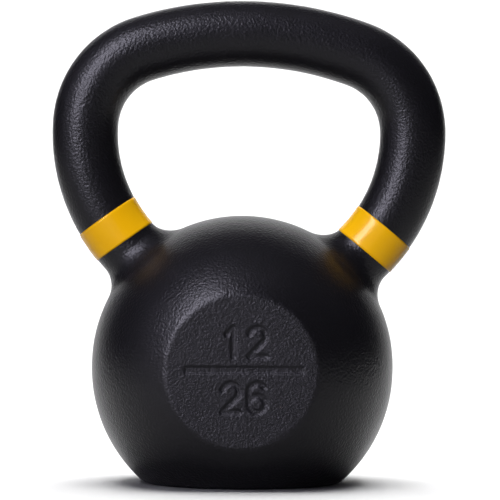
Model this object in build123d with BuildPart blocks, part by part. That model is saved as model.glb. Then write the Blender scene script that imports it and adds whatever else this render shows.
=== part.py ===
# Kettlebell: one iron casting (bell, flat base and loop handle) with a coloured band round each horn.
# Millimetres. The origin is the middle of the flat base, +Z is up, the handle runs along X,
# and the marked flat faces -Y.
from build123d import *
import os

# The bell: two half spheres with a short straight belt between them, cut off flat at the base.
bell_radius = 70.9
belt_height = 0.8
bell_centre_height = 54.0
base_edge_radius = 1.6

# The round flats on the front and back of the bell.
flat_distance = 61.7
flat_edge_radius = 0.7

# The handle: a round bar bent along tangent arcs. Each arc is a radius and the angle it turns
# through, listed for the right half from the middle of the grip down to the horn.
grip_diameter = 30.9
crown_height = 157.5
crown_arc = (157.8, 18.7)
shoulder_arc = (39.0, 53.7)
side_arc = (42.4, 16.9)
horn_arc = (79.2, 49.25)
root_length = 30.0
root_fillet_radius = 8.5

# The base is ground flat a little out of square with the handle, so the handle leans towards +X.
handle_lean = 1.4

# The bands: thin sleeves that wrap the horns, cut straight across. Each is placed by how far its
# middle has turned down the horn's arc, because the two were wrapped by hand at different heights.
band_width = 15.0
band_thickness = 0.4
band_turns = {"right_band": 38.5, "left_band": 37.3}

# The weight marks, sunk into the front flat a little off its middle: two numbers with a bar between
# them. The digits are sized to the middle of their strokes.
mark_depth = 0.8
mark_offset_x = 1.0
mark_offset_z = 0.5
stroke_width = 2.4
digit_height = 12.9
digit_width = 7.4
digit_pitch = 12.0
row_offset = 12.6
bar_length = 54.0
bar_height = 3.1


def straight_stroke(start, end):
    """A straight stroke with round ends."""
    SlotArc(Wire(Line(start, end)), stroke_width)


def curved_stroke(centre, radius, start_angle, turn):
    """A stroke along a circular arc, with round ends."""
    arc = CenterArc(centre, radius, start_angle, turn)
    SlotArc(Wire(arc), stroke_width)
    return arc


def digit_one(cx, cy):
    """A straight stem with a short flag at its top left."""
    w = digit_width / 2
    h = digit_height / 2
    top = (cx + 0.3 * w, cy + h)
    straight_stroke((cx - 0.5 * w, cy + 0.55 * h), top)
    straight_stroke(top, (cx + 0.3 * w, cy - h))


def digit_two(cx, cy):
    """A bowl over a slanting stroke and a flat foot."""
    w = digit_width / 2
    h = digit_height / 2
    foot = (cx - w, cy - h)
    bowl = curved_stroke((cx, cy + h - w), w, 165, -205)
    straight_stroke(bowl @ 1, foot)
    straight_stroke(foot, (cx + w, cy - h))


def digit_six(cx, cy):
    """A closed ring with a stem rising from its left side into a hook."""
    w = digit_width / 2
    h = digit_height / 2
    with Locations((cx, cy - h + w)):
        Circle(w + stroke_width / 2)
        Circle(w - stroke_width / 2, mode=Mode.SUBTRACT)
    straight_stroke((cx - w, cy - h + w), (cx - w, cy + h - w))
    curved_stroke((cx, cy + h - w), w, 180, -145)


# The weight marks, drawn flat about the middle of the bar.
with BuildSketch() as marks:
    Rectangle(bar_length, bar_height)
    for row_height, digits in ((row_offset, (digit_one, digit_two)), (-row_offset, (digit_two, digit_six))):
        for column, digit in zip((-0.5, 0.5), digits):
            digit(column * digit_pitch, row_height)

# The line down the middle of the handle's bar, in the X-Z plane, drawn upright and then leaned over
# about the bell's centre.
with BuildLine(Plane.XZ) as handle_line:
    place = Vector(0, 0, bell_centre_height + crown_height)
    heading = Vector(1, 0, 0)
    for radius, turn in (crown_arc, shoulder_arc, side_arc, horn_arc):
        arc = JernArc(place, heading, radius, -turn)
        place = arc @ 1
        heading = arc % 1
    Line(place, place + heading * root_length)
    mirror(about=Plane.YZ)

lean_axis = Axis((0, 0, bell_centre_height), (0, 1, 0))
handle_path = handle_line.wire().rotate(lean_axis, handle_lean)
horn_paths = {
    "right_band": arc.rotate(lean_axis, handle_lean),
    "left_band": arc.mirror(Plane.YZ).rotate(lean_axis, handle_lean),
}

with BuildPart() as casting:
    # The bell, turned about the Z axis and cut off at the base.
    with BuildSketch(Plane.XZ):
        with BuildLine():
            lower_arc = CenterArc((0, bell_centre_height), bell_radius, -90, 90)
            upper_arc = CenterArc((0, bell_centre_height + belt_height), bell_radius, 0, 90)
            Line(lower_arc @ 1, upper_arc @ 0)
            Line(upper_arc @ 1, lower_arc @ 0)
        make_face()
    revolve(axis=Axis.Z)
    split(bisect_by=Plane.XY, keep=Keep.TOP)

    # The flats on its front and back.
    for side in (-1, 1):
        split(bisect_by=Plane((0, side * flat_distance, 0), z_dir=(0, side, 0)), keep=Keep.BOTTOM)
    flats = casting.faces().filter_by(Plane.XZ)
    fillet(flats.edges(), radius=flat_edge_radius)
    base = casting.faces().sort_by(Axis.Z)[0]
    fillet(base.edges(), radius=base_edge_radius)

    # The handle, joined to the bell with a fillet round the root of each horn.
    with BuildSketch(Plane(origin=handle_path @ 0, z_dir=handle_path % 0)):
        Circle(grip_diameter / 2)
    sweep(path=handle_path)
    fillet(casting.edges(Select.NEW), radius=root_fillet_radius)

    # The weight marks.
    front = Plane((0, -flat_distance, bell_centre_height + belt_height), x_dir=(1, 0, 0), z_dir=(0, -1, 0))
    with BuildSketch(front):
        with Locations((mark_offset_x, mark_offset_z)):
            add(marks.sketch)
    extrude(amount=-mark_depth, mode=Mode.SUBTRACT)

casting.part.label = "casting"

os.makedirs("parts", exist_ok=True)
export_step(casting.part, "parts/casting.step")

# The bands, each a ring swept down the horn and cut off by two parallel planes.
for name, horn_path in horn_paths.items():
    middle = band_turns[name] / horn_arc[1]
    with BuildPart() as band:
        with BuildSketch(Plane(origin=horn_path @ 0, z_dir=horn_path % 0)):
            Circle(grip_diameter / 2 + band_thickness)
            Circle(grip_diameter / 2, mode=Mode.SUBTRACT)
        sweep(path=horn_path)
        across = Plane(origin=horn_path @ middle, z_dir=horn_path % middle)
        split(bisect_by=across.offset(band_width / 2), keep=Keep.BOTTOM)
        split(bisect_by=across.offset(-band_width / 2), keep=Keep.TOP)
    band.part.label = name
    export_step(band.part, f"parts/{name}.step")
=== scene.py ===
import math

import bmesh
import bpy
import numpy as np
import openvdb
from mathutils import Matrix


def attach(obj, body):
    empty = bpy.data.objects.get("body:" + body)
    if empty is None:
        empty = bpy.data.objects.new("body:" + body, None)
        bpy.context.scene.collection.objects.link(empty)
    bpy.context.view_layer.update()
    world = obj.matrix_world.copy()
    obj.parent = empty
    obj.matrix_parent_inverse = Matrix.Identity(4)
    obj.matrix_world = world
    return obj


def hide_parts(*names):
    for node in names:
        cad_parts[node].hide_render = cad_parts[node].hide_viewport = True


# The looks of the kettlebell: a finely meshed casting with its cast and coated surface, and two
# wrapped bands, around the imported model. Metres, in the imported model's frame: the origin is the
# middle of the base, +Z is up, the handle runs along X and the marked flat faces -Y.

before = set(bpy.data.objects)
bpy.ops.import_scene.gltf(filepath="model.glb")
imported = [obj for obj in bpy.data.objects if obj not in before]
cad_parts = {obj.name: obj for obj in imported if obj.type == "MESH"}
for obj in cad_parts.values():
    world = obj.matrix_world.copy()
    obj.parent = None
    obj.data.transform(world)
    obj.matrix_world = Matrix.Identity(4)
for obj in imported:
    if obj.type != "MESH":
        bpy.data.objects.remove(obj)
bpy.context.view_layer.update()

# ---------------------------------------------------------------------------------------------
# Sizes of the casting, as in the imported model
# ---------------------------------------------------------------------------------------------
MM = 0.001
BELL_RADIUS = 70.9 * MM
BELT_HEIGHT = 0.8 * MM
BELL_CENTRE_HEIGHT = 54.0 * MM
BASE_EDGE_RADIUS = 1.6 * MM
FLAT_DISTANCE = 61.7 * MM
FLAT_EDGE_RADIUS = 0.7 * MM
FLAT_RADIUS = math.sqrt(BELL_RADIUS**2 - FLAT_DISTANCE**2)
BASE_RADIUS = math.sqrt(BELL_RADIUS**2 - BELL_CENTRE_HEIGHT**2)

HANDLE_LEAN = math.radians(1.4)
GRIP_RADIUS = 15.45 * MM
CROWN_HEIGHT = 157.5 * MM
HORN_RADIUS = 79.2 * MM
BAND_WIDTH = 15.0 * MM
BAND_TURNS = {"left_band": 37.3, "right_band": 38.5}
HANDLE_ARCS = [
    (157.8 * MM, 18.7),
    (39.0 * MM, 53.7),
    (42.4 * MM, 16.9),
    (HORN_RADIUS, 49.25),
]
ROOT_LENGTH = 30.0 * MM
ROOT_FILLET_RADIUS = 8.5 * MM

MARK_CENTRE_HEIGHT = BELL_CENTRE_HEIGHT + BELT_HEIGHT
MARK_DEPTH = 0.8 * MM
MARK_WALL = 0.9 * MM
STROKE_WIDTH = 2.4 * MM
DIGIT_HALF_HEIGHT = 6.45 * MM
DIGIT_HALF_WIDTH = 3.7 * MM
DIGIT_PITCH = 12.0 * MM
ROW_OFFSET = 12.6 * MM
BAR_HALF_LENGTH = 27.0 * MM
BAR_HALF_HEIGHT = 1.55 * MM
MARK_OFFSET_X = 1.0 * MM
MARK_OFFSET_Z = 0.5 * MM

# ---------------------------------------------------------------------------------------------
# Distances in a plane
# ---------------------------------------------------------------------------------------------


def arc_distance(u, w, centre, radius, start, turn):
    """Distance from points to a circular arc. Angles are in degrees, and a turn below 0 is clockwise."""
    middle = math.radians(start + turn / 2)
    half = math.radians(abs(turn) / 2)
    du = u - centre[0]
    dw = w - centre[1]
    away = (np.arctan2(dw, du) - middle + math.pi) % (2 * math.pi) - math.pi
    nearest = middle + np.clip(away, -half, half)
    return np.hypot(du - radius * np.cos(nearest), dw - radius * np.sin(nearest))


def line_distance(u, w, start, end):
    """Distance from points to a straight line between two points."""
    along = np.subtract(end, start)
    du = u - start[0]
    dw = w - start[1]
    share = np.clip((du * along[0] + dw * along[1]) / (along @ along), 0, 1)
    return np.hypot(du - share * along[0], dw - share * along[1])


def digit_one(u, w):
    a = DIGIT_HALF_WIDTH
    b = DIGIT_HALF_HEIGHT
    top = (0.3 * a, b)
    flag = line_distance(u, w, (-0.5 * a, 0.55 * b), top)
    stem = line_distance(u, w, top, (0.3 * a, -b))
    return np.minimum(flag, stem)


def digit_two(u, w):
    a = DIGIT_HALF_WIDTH
    b = DIGIT_HALF_HEIGHT
    bowl_end = math.radians(-40)
    bowl = arc_distance(u, w, (0, b - a), a, 165, -205)
    slant = line_distance(u, w, (a * math.cos(bowl_end), b - a + a * math.sin(bowl_end)), (-a, -b))
    foot = line_distance(u, w, (-a, -b), (a, -b))
    return np.minimum(np.minimum(bowl, slant), foot)


def digit_six(u, w):
    a = DIGIT_HALF_WIDTH
    b = DIGIT_HALF_HEIGHT
    ring = np.abs(np.hypot(u, w + b - a) - a)
    stem = line_distance(u, w, (-a, a - b), (-a, b - a))
    hook = arc_distance(u, w, (0, b - a), a, 180, -145)
    return np.minimum(np.minimum(ring, stem), hook)


def mark_distance(x, z):
    """Distance to the edge of the sunk marks, below 0 inside them."""
    u = x - MARK_OFFSET_X
    w = z - MARK_CENTRE_HEIGHT - MARK_OFFSET_Z
    over_end = np.abs(u) - BAR_HALF_LENGTH
    over_side = np.abs(w) - BAR_HALF_HEIGHT
    outside = np.hypot(np.maximum(over_end, 0), np.maximum(over_side, 0))
    nearest = outside + np.minimum(np.maximum(over_end, over_side), 0)
    for row, digits in ((ROW_OFFSET, (digit_one, digit_two)), (-ROW_OFFSET, (digit_two, digit_six))):
        for column, digit in zip((-0.5, 0.5), digits):
            stroke = digit(u - column * DIGIT_PITCH, w - row) - STROKE_WIDTH / 2
            nearest = np.minimum(nearest, stroke)
    return nearest


# ---------------------------------------------------------------------------------------------
# The casting as a distance field
# ---------------------------------------------------------------------------------------------


def handle_line():
    """The right half of the handle's centre line: its arcs as (centre, radius, start, turn), and the
    root line's two ends. Angles run anticlockwise from +X in the X-Z plane."""
    arcs = []
    place = np.array([0.0, BELL_CENTRE_HEIGHT + CROWN_HEIGHT])
    angle = 90.0
    for radius, turn in HANDLE_ARCS:
        outward = np.array([math.cos(math.radians(angle)), math.sin(math.radians(angle))])
        centre = place - radius * outward
        arcs.append((centre, radius, angle, -turn))
        angle -= turn
        outward = np.array([math.cos(math.radians(angle)), math.sin(math.radians(angle))])
        place = centre + radius * outward
    heading = np.array([outward[1], -outward[0]])
    return arcs, (place, place + ROOT_LENGTH * heading)


ARCS, ROOT = handle_line()


def leaned(x, z, angle):
    """Points of the X-Z plane turned about the bell's centre, from upright towards +X."""
    up = z - BELL_CENTRE_HEIGHT
    turned_x = x * math.cos(angle) + up * math.sin(angle)
    turned_up = up * math.cos(angle) - x * math.sin(angle)
    return turned_x, BELL_CENTRE_HEIGHT + turned_up


def round_union(a, b, radius):
    """The union of two distance fields, with a fillet of that radius where they meet."""
    corner = np.hypot(np.maximum(radius - a, 0), np.maximum(radius - b, 0))
    return np.maximum(radius, np.minimum(a, b)) - corner


def round_cut(a, b, radius):
    """What lies in both of two distance fields, with its edge rounded to that radius."""
    corner = np.hypot(np.maximum(a + radius, 0), np.maximum(b + radius, 0))
    return np.minimum(-radius, np.maximum(a, b)) + corner


def casting_distance(x, y, z):
    """Distance to the surface of the casting without its marks, below 0 inside the iron."""
    up = z - BELL_CENTRE_HEIGHT
    up = up - np.clip(up, 0, BELT_HEIGHT)
    bell = np.sqrt(x * x + y * y + up * up) - BELL_RADIUS
    bell = round_cut(bell, np.abs(y) - FLAT_DISTANCE, FLAT_EDGE_RADIUS)
    bell = round_cut(bell, -z, BASE_EDGE_RADIUS)
    across, along = leaned(x, z, -HANDLE_LEAN)
    side = np.abs(across)
    bar = line_distance(side, along, *ROOT)
    for arc in ARCS:
        bar = np.minimum(bar, arc_distance(side, along, *arc))
    return round_union(bell, np.hypot(bar, y) - GRIP_RADIUS, ROOT_FILLET_RADIUS)


def casting_gradient(points, step=0.05 * MM):
    """The field's slope at points, which is the surface's outward direction there."""
    slope = np.empty_like(points)
    for axis in range(3):
        ahead = points.copy()
        behind = points.copy()
        ahead[:, axis] += step
        behind[:, axis] -= step
        slope[:, axis] = casting_distance(*ahead.T) - casting_distance(*behind.T)
    return slope / np.linalg.norm(slope, axis=1, keepdims=True)


def onto_surface(points, rounds=3):
    """Moves points the shortest way onto the casting's surface."""
    for _ in range(rounds):
        points = points - casting_distance(*points.T)[:, None] * casting_gradient(points)
    return points


def lattice_value(cells, seed):
    """A value from 0 to 1 for each whole-number cell, the same on every run."""
    mixed = cells.astype(np.int64) @ np.array([374761393, 668265263, 974634777]) + seed * 69069
    mixed = (mixed ^ (mixed >> 13)) * 1274126177 & 0xFFFFFFFF
    return ((mixed ^ (mixed >> 16)) & 0xFFFF) / 0xFFFF


def smooth_noise(points, wavelength, seed):
    """Smooth noise from -1 to 1 at 3-D points, the same on every run."""
    scaled = points / wavelength
    cell = np.floor(scaled)
    part = scaled - cell
    part = part**3 * (part * (part * 6 - 15) + 10)
    total = np.zeros(len(points))
    for corner in np.ndindex(2, 2, 2):
        weight = np.prod(np.where(corner, part, 1 - part), axis=1)
        total += weight * lattice_value(cell + corner, seed)
    return 2 * total - 1


# ---------------------------------------------------------------------------------------------
# The casting's mesh
# ---------------------------------------------------------------------------------------------
CELL = 1.35 * MM
REFINE_CUTS = 2
RELAX_ROUNDS = 4

# The unevenness of the surface, as layers of smooth noise: height, wavelength and seed.
PEEL_LAYERS = [(0.016 * MM, 4.2 * MM, 1), (0.03 * MM, 14 * MM, 2)]
GRAIN_LAYERS = [(0.06 * MM, 1.2 * MM, 3), (0.03 * MM, 3.0 * MM, 4)]
RIM_WEAR_LAYERS = [(0.16 * MM, 5 * MM, 5)]
RIM_WEAR_REACH = 1.5 * MM
SANDY_EDGE = 0.35 * MM


def field_mesh():
    """Points and quads of the casting's surface, meshed from its distance field."""
    low = np.array([-94, -64, -3]) * MM
    high = np.array([99, 64, 230]) * MM
    counts = np.ceil((high - low) / CELL).astype(int)
    axes = [low[i] + CELL * np.arange(counts[i]) for i in range(3)]
    x, y, z = np.meshgrid(*axes, indexing="ij")
    grid = openvdb.FloatGrid(4 * CELL)
    grid.copyFromArray(casting_distance(x, y, z).astype(np.float32))
    points, quads = grid.convertToQuads(0.0)
    return low + points.astype(float) * CELL, quads


def relax(points, quads, rounds):
    """Evens out the mesh along the surface."""
    edges = np.concatenate([quads[:, [i, (i + 1) % 4]] for i in range(4)])
    edges = np.concatenate([edges, edges[:, ::-1]])
    count = np.bincount(edges[:, 0], minlength=len(points))[:, None]
    for _ in range(rounds):
        total = np.zeros_like(points)
        np.add.at(total, edges[:, 0], points[edges[:, 1]])
        points = onto_surface(points * 0.4 + total / count * 0.6, 1)
    return points


def needs_detail(points):
    """True where the mesh is made finer: the front flat, the back flat's rim and the base's rim."""
    from_flat_centre = np.hypot(points[:, 0], points[:, 2] - MARK_CENTRE_HEIGHT)
    from_axis = np.hypot(points[:, 0], points[:, 1])
    front = (points[:, 1] < -FLAT_DISTANCE + 2 * MM) & (from_flat_centre < FLAT_RADIUS + 3 * MM)
    back = (points[:, 1] > 0) & (np.abs(points[:, 1] - FLAT_DISTANCE) < 1.5 * MM)
    back &= np.abs(from_flat_centre - FLAT_RADIUS) < 2.5 * MM
    base = (points[:, 2] < 3 * MM) & (np.abs(from_axis - BASE_RADIUS) < 3 * MM)
    return front | back | base


def refined(points, quads):
    """A bmesh of the quads, cut finer where detail needs it, as points and faces."""
    mesh = bmesh.new()
    corners = [mesh.verts.new(point) for point in points]
    for quad in quads:
        mesh.faces.new([corners[i] for i in quad])
    centres = points[quads].mean(axis=1)
    mesh.faces.ensure_lookup_table()
    chosen = np.flatnonzero(needs_detail(centres))
    edges = {edge for i in chosen for edge in mesh.faces[int(i)].edges}
    edges = sorted(edges, key=lambda edge: edge.index)
    bmesh.ops.subdivide_edges(mesh, edges=edges, cuts=REFINE_CUTS, use_grid_fill=True)
    bmesh.ops.triangulate(mesh, faces=[face for face in mesh.faces if len(face.verts) > 4])
    bmesh.ops.recalc_face_normals(mesh, faces=mesh.faces)
    return mesh


def casting_object():
    """The casting: its field as a mesh, evened out, cut finer and given its surface."""
    points, quads = field_mesh()
    points = relax(onto_surface(points), quads, RELAX_ROUNDS)
    mesh = refined(points, quads)
    data = bpy.data.meshes.new("kettlebell_casting")
    mesh.to_mesh(data)
    mesh.free()
    shape_casting(data)
    piece = bpy.data.objects.new("kettlebell_casting", data)
    bpy.context.scene.collection.objects.link(piece)
    return piece


def layered_noise(points, layers):
    """Layers of smooth noise, added up."""
    return sum(height * smooth_noise(points, wavelength, seed) for height, wavelength, seed in layers)


def shape_casting(data):
    """Sinks the marks and gives the surface its cast and coated unevenness."""
    points = np.empty(len(data.vertices) * 3)
    data.vertices.foreach_get("co", points)
    points = onto_surface(points.reshape(-1, 3))
    out = casting_gradient(points)
    front = points[:, 1] < -FLAT_DISTANCE + 0.01 * MM

    edge = mark_distance(points[:, 0], points[:, 2])
    sunk = np.clip(0.5 - edge / MARK_WALL, 0, 1) * front
    sunk = sunk * sunk * (3 - 2 * sunk)
    points[:, 1] += sunk * MARK_DEPTH

    under_flat = FLAT_DISTANCE - np.abs(points[:, 1]) - sunk * MARK_DEPTH
    on_flat = np.clip(1 - under_flat / SANDY_EDGE, 0, 1)
    peel = layered_noise(points, PEEL_LAYERS)
    grain = layered_noise(points, GRAIN_LAYERS)
    points += ((peel * (1 - on_flat) + grain * on_flat)[:, None]) * out

    # The flats' rims are slightly worn.
    from_rim = np.abs(np.hypot(points[:, 0], points[:, 2] - MARK_CENTRE_HEIGHT) - FLAT_RADIUS)
    by_flat = np.abs(points[:, 1]) > FLAT_DISTANCE - RIM_WEAR_REACH
    near_rim = np.clip(1 - from_rim / RIM_WEAR_REACH, 0, 1) * by_flat
    points += (near_rim * layered_noise(points, RIM_WEAR_LAYERS))[:, None] * out
    data.vertices.foreach_set("co", points.ravel())
    mask = data.attributes.new("sandy", "FLOAT", "POINT")
    mask.data.foreach_set("value", on_flat.astype(np.float32))
    data.shade_smooth()
    data.update()


# ---------------------------------------------------------------------------------------------
# The bands
# ---------------------------------------------------------------------------------------------
BAND_THICKNESS = 0.34 * MM
BAND_EDGE_ROUND = 0.3 * MM
BAND_SINK = 0.1 * MM
BAND_INNER_SHARE = 0.995


def band_object(name, side, band_turn):
    """A band wrapped round a horn: a closed sleeve with rounded edges, cut straight across."""
    centre, radius, start, _ = ARCS[-1]
    around_count = 144
    across = np.linspace(-1, 1, 25)
    half = BAND_WIDTH / 2
    section = []
    for share in across:
        from_edge = (1 - abs(share)) * half
        lift = 1 - max(0.0, 1 - from_edge / BAND_EDGE_ROUND) ** 2
        section.append((share * half, BAND_THICKNESS * math.sqrt(max(lift, 0.0))))
    for share in across[::-1][:: len(across) // 4]:
        section.append((share * half * BAND_INNER_SHARE, -BAND_SINK))
    mesh = bmesh.new()
    rings = []
    for i in range(around_count):
        turned = 2 * math.pi * i / around_count
        ring = []
        for along, lift in section:
            r = GRIP_RADIUS + lift
            reach = radius + r * math.cos(turned)
            angle = math.radians(start - band_turn) - math.asin(along / reach)
            upright_x = side * (centre[0] + reach * math.cos(angle))
            x, z = leaned(upright_x, centre[1] + reach * math.sin(angle), HANDLE_LEAN)
            ring.append(mesh.verts.new((x, r * math.sin(turned), z)))
        rings.append(ring)
    for ring, following in zip(rings, rings[1:] + rings[:1]):
        for i in range(len(section)):
            j = (i + 1) % len(section)
            mesh.faces.new((ring[i], ring[j], following[j], following[i]))
    bmesh.ops.recalc_face_normals(mesh, faces=mesh.faces)
    data = bpy.data.meshes.new(name)
    mesh.to_mesh(data)
    mesh.free()
    data.shade_smooth()
    piece = bpy.data.objects.new(name, data)
    bpy.context.scene.collection.objects.link(piece)
    return piece


# ---------------------------------------------------------------------------------------------
# Materials
# ---------------------------------------------------------------------------------------------


class Nodes:
    """A new material's node tree, with a short way to add and link nodes."""

    def __init__(self, name):
        self.material = bpy.data.materials.new(name)
        self.material.use_nodes = True
        self.tree = self.material.node_tree
        self.shader = self.tree.nodes["Principled BSDF"]

    def add(self, kind, inputs=None, **settings):
        node = self.tree.nodes.new(kind)
        for key, value in settings.items():
            setattr(node, key, value)
        for key, value in (inputs or {}).items():
            if isinstance(value, bpy.types.NodeSocket):
                self.tree.links.new(value, node.inputs[key])
            else:
                node.inputs[key].default_value = value
        return node

    def noise(self, vector, scale, detail=2.0, roughness=0.5):
        inputs = {"Vector": vector, "Scale": scale, "Detail": detail, "Roughness": roughness}
        return self.add("ShaderNodeTexNoise", inputs).outputs["Fac"]

    def maths(self, operation, a, b):
        return self.add("ShaderNodeMath", {0: a, 1: b}, operation=operation).outputs[0]

    def spread(self, value, low, high, to_low, to_high):
        inputs = {"Value": value, "From Min": low, "From Max": high, "To Min": to_low, "To Max": to_high}
        return self.add("ShaderNodeMapRange", inputs).outputs["Result"]

    def colours(self, factor, a, b):
        node = self.add("ShaderNodeMix", data_type="RGBA")
        self.tree.links.new(factor, node.inputs["Factor"])
        node.inputs["A"].default_value = a
        node.inputs["B"].default_value = b
        return node.outputs["Result"]

    def bump(self, height, strength, distance, normal=None):
        inputs = {"Height": height, "Strength": strength, "Distance": distance}
        if normal is not None:
            inputs["Normal"] = normal
        return self.add("ShaderNodeBump", inputs).outputs["Normal"]


def coated_iron():
    """Black powder coat on cast iron: satin with orange peel, and rough and sandy on the flats."""
    n = Nodes("coated_iron")
    place = n.add("ShaderNodeTexCoord").outputs["Object"]
    sandy = n.add("ShaderNodeAttribute", attribute_name="sandy").outputs["Fac"]
    peel = n.noise(place, 880, 1.0, 0.5)
    grain = n.noise(place, 1200, 1.0, 0.5)
    broad = n.noise(place, 26, 3.0, 0.5)
    n.tree.links.new(
        n.colours(broad, (0.0054, 0.0051, 0.0066, 1), (0.0070, 0.0066, 0.0084, 1)),
        n.shader.inputs["Base Color"],
    )
    smooth_rough = n.spread(broad, 0.3, 0.7, 0.29, 0.33)
    rough = n.maths("ADD", smooth_rough, n.maths("MULTIPLY", sandy, 0.15))
    n.tree.links.new(rough, n.shader.inputs["Roughness"])
    n.shader.inputs["Specular IOR Level"].default_value = 0.13
    sand = n.maths("MULTIPLY", grain, n.maths("MULTIPLY", sandy, 1.0))
    height = n.maths("ADD", peel, sand)
    n.tree.links.new(n.bump(height, 1.0, 0.00026), n.shader.inputs["Normal"])
    return n.material


def yellow_vinyl():
    """Glossy yellow vinyl tape: slightly uneven, with faint stretch marks along it."""
    n = Nodes("yellow_vinyl")
    place = n.add("ShaderNodeTexCoord").outputs["Object"]
    broad = n.noise(place, 90, 2.0, 0.5)
    fine = n.noise(place, 700, 2.0, 0.5)
    n.tree.links.new(
        n.colours(broad, (0.88, 0.44, 0.003, 1), (0.95, 0.50, 0.005, 1)),
        n.shader.inputs["Base Color"],
    )
    n.tree.links.new(n.spread(broad, 0.3, 0.7, 0.20, 0.26), n.shader.inputs["Roughness"])
    n.shader.inputs["Specular IOR Level"].default_value = 0.12
    n.tree.links.new(n.bump(fine, 0.15, 0.0001), n.shader.inputs["Normal"])
    return n.material


# ---------------------------------------------------------------------------------------------
# The pieces
# ---------------------------------------------------------------------------------------------
casting = casting_object()
casting.data.materials.append(coated_iron())
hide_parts("casting")
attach(casting, "root")

kettlebell = [casting]
vinyl = yellow_vinyl()
for node, side in (("left_band", -1), ("right_band", 1)):
    band = band_object("wrapped_" + node, side, BAND_TURNS[node])
    band.data.materials.append(vinyl)
    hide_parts(node)
    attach(band, "root")
    kettlebell.append(band)

# ---------------------------------------------------------------------------------------------
# Floor, lights and camera
# ---------------------------------------------------------------------------------------------


SOFT_WHITE = (0.97, 0.94, 1.12)
AMBIENT_STRENGTH = 0.03


def plain_material(name, colour, roughness):
    material = bpy.data.materials.new(name)
    material.use_nodes = True
    shader = material.node_tree.nodes["Principled BSDF"]
    shader.inputs["Base Color"].default_value = (*colour, 1)
    shader.inputs["Roughness"].default_value = roughness
    return material


def floor_object():
    """A pale floor that curves up into a backdrop behind the object."""
    half_width = 1.1
    front = -2.5
    back = 1.6
    bend = 0.8
    height = 3.0
    outline = [(front, 0.0), (back - bend, 0.0)]
    for i in range(1, 25):
        angle = math.pi / 2 * i / 24
        outline.append((back - bend + bend * math.sin(angle), bend - bend * math.cos(angle)))
    outline.append((back, height))
    mesh = bmesh.new()
    left = [mesh.verts.new((-half_width, y, z)) for y, z in outline]
    right = [mesh.verts.new((half_width, y, z)) for y, z in outline]
    for i in range(len(outline) - 1):
        mesh.faces.new((left[i], right[i], right[i + 1], left[i + 1]))
    data = bpy.data.meshes.new("floor")
    mesh.to_mesh(data)
    mesh.free()
    data.shade_smooth()
    data.materials.append(plain_material("pale_floor", (0.86, 0.86, 0.86), 0.7))
    piece = bpy.data.objects.new("floor", data)
    bpy.context.scene.collection.objects.link(piece)
    return piece


def studio_world():
    """An even surround: dim as a light, and white where it shows past the edge of the floor."""
    world = bpy.data.worlds.new("studio")
    world.use_nodes = True
    background = world.node_tree.nodes["Background"]
    background.inputs["Color"].default_value = (*SOFT_WHITE, 1)
    background.inputs["Strength"].default_value = AMBIENT_STRENGTH
    tree = world.node_tree
    white = tree.nodes.new("ShaderNodeBackground")
    white.inputs["Color"].default_value = (1, 1, 1, 1)
    seen = tree.nodes.new("ShaderNodeLightPath").outputs["Is Camera Ray"]
    either = tree.nodes.new("ShaderNodeMixShader")
    tree.links.new(seen, either.inputs["Fac"])
    tree.links.new(background.outputs["Background"], either.inputs[1])
    tree.links.new(white.outputs["Background"], either.inputs[2])
    tree.links.new(either.outputs["Shader"], tree.nodes["World Output"].inputs["Surface"])
    bpy.context.scene.world = world


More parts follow.
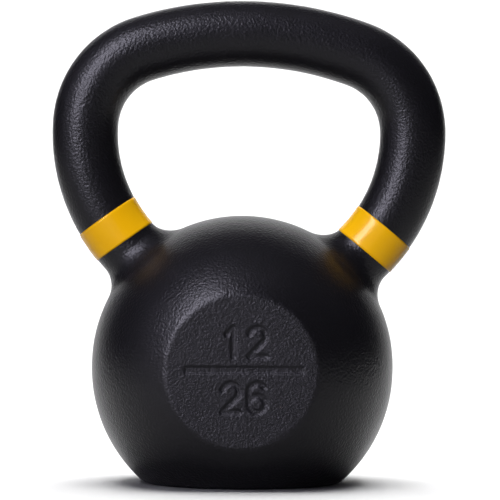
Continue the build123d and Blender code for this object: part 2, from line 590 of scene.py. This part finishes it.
def soft_light(name, direction, distance, size, power, colour=(1, 1, 1), target=(0, 0, 0.11)):
    """A rectangular soft box that looks at the target from a direction. Its power is in watts."""
    way = np.array(direction, float)
    way /= np.linalg.norm(way)
    place = np.array(target) + way * distance
    lamp = bpy.data.lights.new(name, "AREA")
    lamp.shape = "RECTANGLE"
    lamp.size = size[0]
    lamp.size_y = size[1]
    lamp.energy = power
    lamp.color = colour
    piece = bpy.data.objects.new(name, lamp)
    side = np.cross((0, 0, 1), way)
    side /= np.linalg.norm(side)
    up = np.cross(way, side)
    piece.matrix_world = Matrix([
        (side[0], up[0], way[0], place[0]),
        (side[1], up[1], way[1], place[1]),
        (side[2], up[2], way[2], place[2]),
        (0, 0, 0, 1),
    ])
    bpy.context.scene.collection.objects.link(piece)
    return piece


def camera_object():
    """A long lens in front of the object, level, a little below its middle and turned slightly."""
    aside = 0.0034
    height = 0.10955
    distance = 1.430
    roll = math.radians(0.25)
    data = bpy.data.cameras.new("camera")
    data.sensor_width = 36
    data.lens = 218.3
    piece = bpy.data.objects.new("camera", data)
    s = math.sin(roll)
    c = math.cos(roll)
    piece.matrix_world = Matrix([
        (c, -s, 0, aside),
        (0, 0, -1, -distance),
        (s, c, 0, height),
        (0, 0, 0, 1),
    ])
    bpy.context.scene.collection.objects.link(piece)
    bpy.context.scene.camera = piece


floor = floor_object()
floor.visible_diffuse = False
studio_world()

# Three soft boxes make the gloss: a tall key at the upper left, a wide one further round to the
# left, and a weak one over the front.
key = soft_light("key", (-0.5, -0.7, 0.5), 1.6, (0.5, 1.5), 56, SOFT_WHITE)
left_fill = soft_light("left_fill", (-1.0, -0.5, 0.3), 1.6, (1.2, 1.2), 4, SOFT_WHITE)
top_fill = soft_light("top_fill", (0.0, -0.3, 1.0), 1.6, (1.2, 0.8), 1.0, SOFT_WHITE)
for lamp in (key, left_fill, top_fill):
    lamp.visible_diffuse = False

# Three more give the even light: on the front of the object alone, so that its shadow stays on
# the floor, from overhead, and on the backdrop.
front_fill = soft_light("front_fill", (-0.3, -1.0, 0.12), 1.7, (1.6, 1.0), 31)
overhead = soft_light("overhead", (0.0, 0.15, 1.0), 1.9, (1.6, 1.6), 64)
backdrop_light = soft_light("backdrop_light", (0, -0.2, 1), 1.4, (2.5, 0.6), 18, target=(0, 1.3, 0.3))
for lamp in (front_fill, overhead, backdrop_light):
    lamp.visible_glossy = False
lit_from_front = bpy.data.collections.new("lit_from_front")
for piece in kettlebell:
    lit_from_front.objects.link(piece)
front_fill.light_linking.receiver_collection = lit_from_front
camera_object()
bpy.context.scene.view_settings.view_transform = "Standard"
